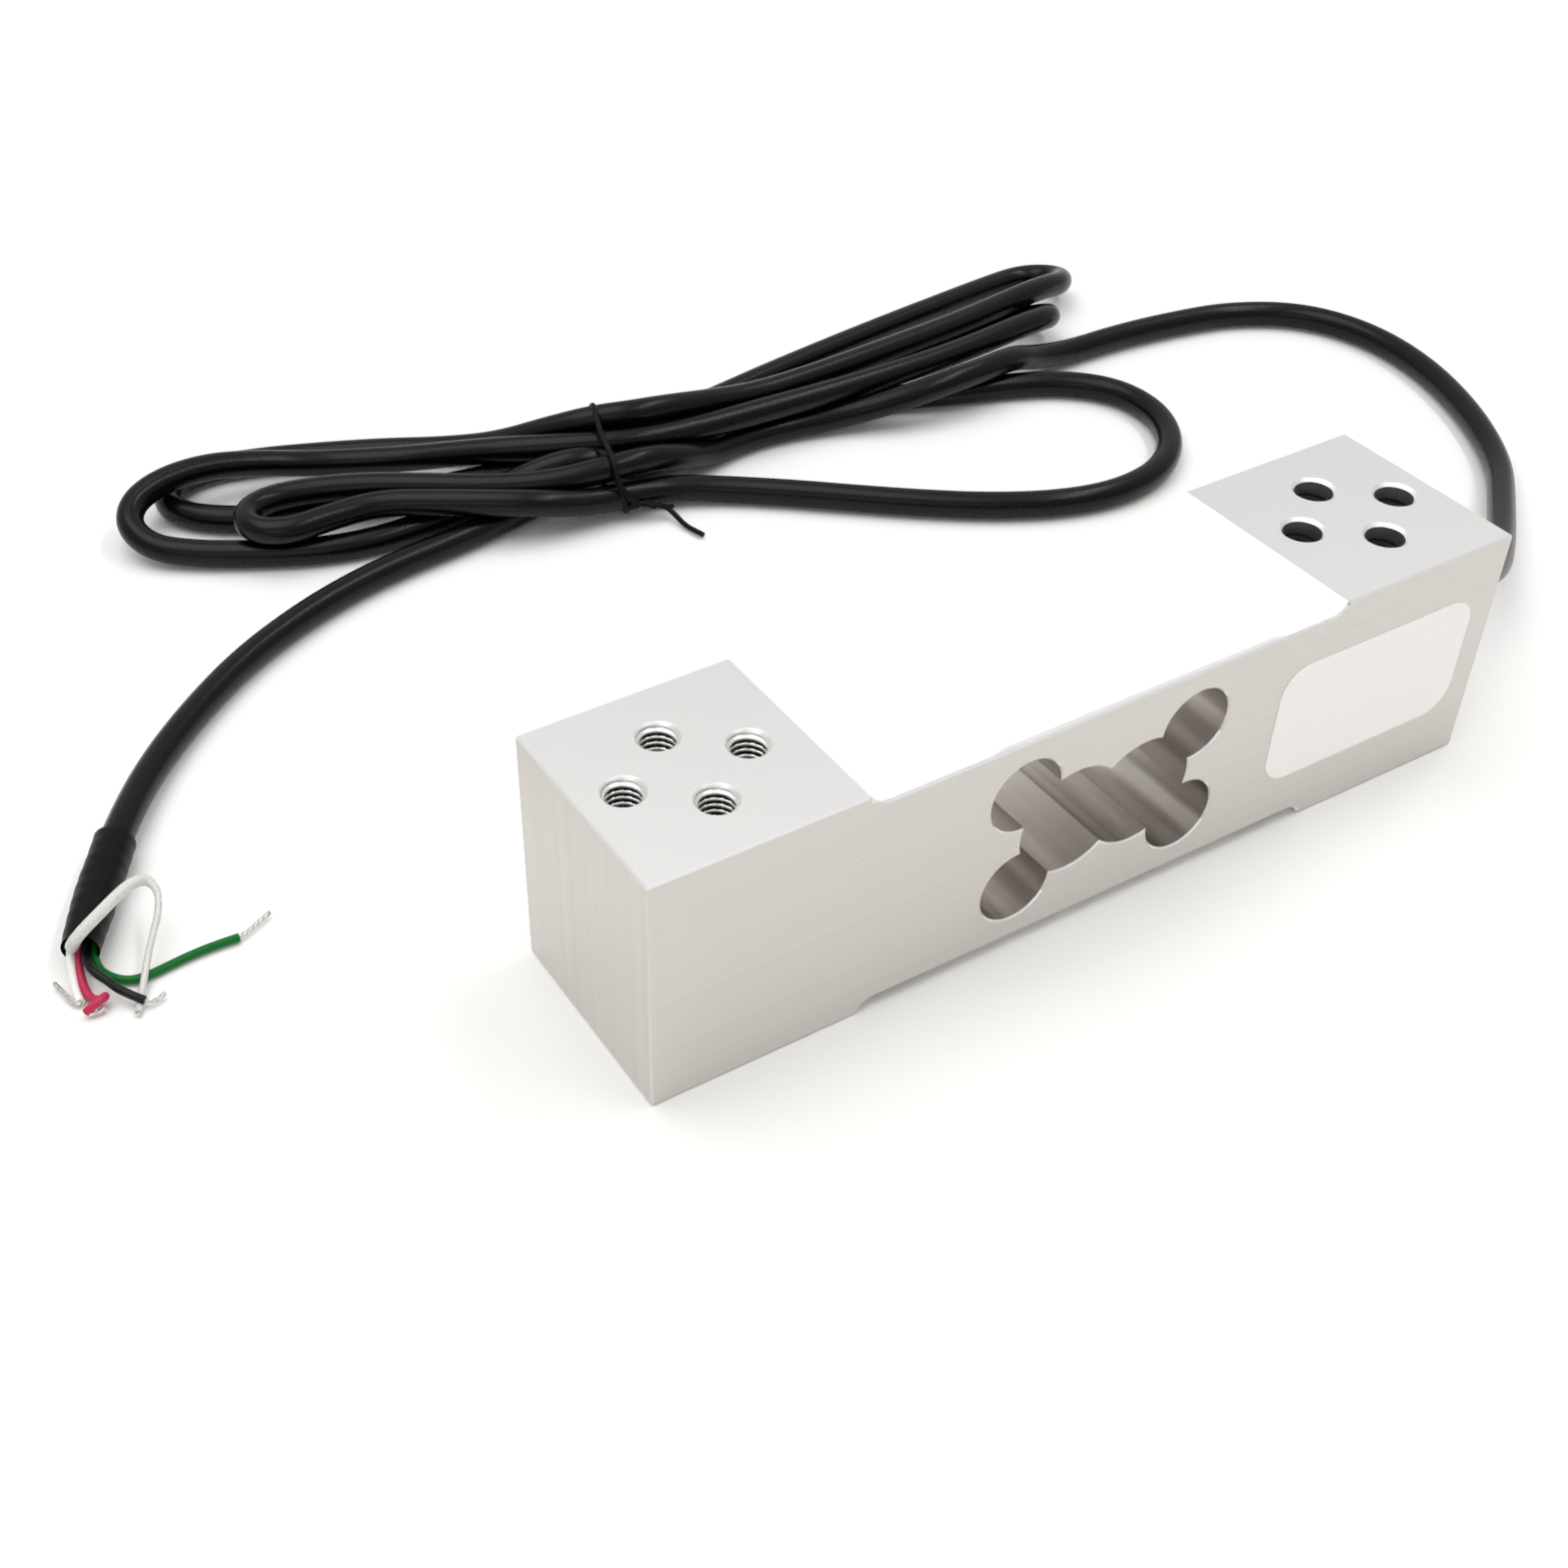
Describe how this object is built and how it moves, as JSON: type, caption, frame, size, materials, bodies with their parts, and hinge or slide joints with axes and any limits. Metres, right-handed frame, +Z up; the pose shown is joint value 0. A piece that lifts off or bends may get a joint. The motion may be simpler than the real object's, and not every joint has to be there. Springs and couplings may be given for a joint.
{
  "type": "strain gauge load cell",
  "caption": "Bar load cell of machined aluminium with a lobed through cavity, tapped end blocks, white sealed gauge decks and a black cable tied in a hank.",
  "frame": {"origin": "centre of the bar's footprint, on the plane that the bar stands on", "axes": "+X along the bar towards the end the cable leaves, +Y across the bar away from the labelled side, +Z up"},
  "size_m": [0.3018, 0.1849, 0.04],
  "materials": {
    "bar": "milled, clear anodised",
    "sealant": "smooth white silicone",
    "gauge": "polyimide foil",
    "board": "solder mask",
    "resistor": "moulded",
    "tin": "tinned copper and solder",
    "jacket": "black PVC jacket",
    "shrink": "shrunk tube",
    "label": "film label, blank",
    "core_red": "PVC insulation",
    "core_black": "PVC insulation",
    "core_green": "PVC insulation",
    "core_white": "PVC insulation",
    "shield": "translucent sleeve over the drain wire"
  },
  "bodies": {
    "root": {"beam_body": "bar", "silicone_cover_top": "sealant", "silicone_cover_bottom": "sealant", "strain_gauge_top_front": "gauge", "strain_gauge_top_back": "gauge", "strain_gauge_bottom_front": "gauge", "strain_gauge_bottom_back": "gauge", "terminal_board_top": "board", "terminal_board_bottom": "board", "span_resistors": "resistor", "solder_joints_top": "tin", "solder_joints_bottom": "tin", "gauge_leads_top": "tin", "gauge_leads_bottom": "tin", "core_wires_inner": "core_white", "bridge_wires": "tin", "cable_entry_seal": "sealant", "label_sticker": "label", "cable_inner": "jacket", "cable_lead": "jacket", "cable_hank": "jacket", "cable_loop": "jacket", "cable_tail": "jacket", "heat_shrink_sleeve": "shrink", "wire_red": "core_red", "wire_black": "core_black", "wire_green": "core_green", "wire_white": "core_white", "shield_sleeve": "shield", "tinned_tips": "tin", "twist_tie": "jacket"}
  },
  "joints": []
}
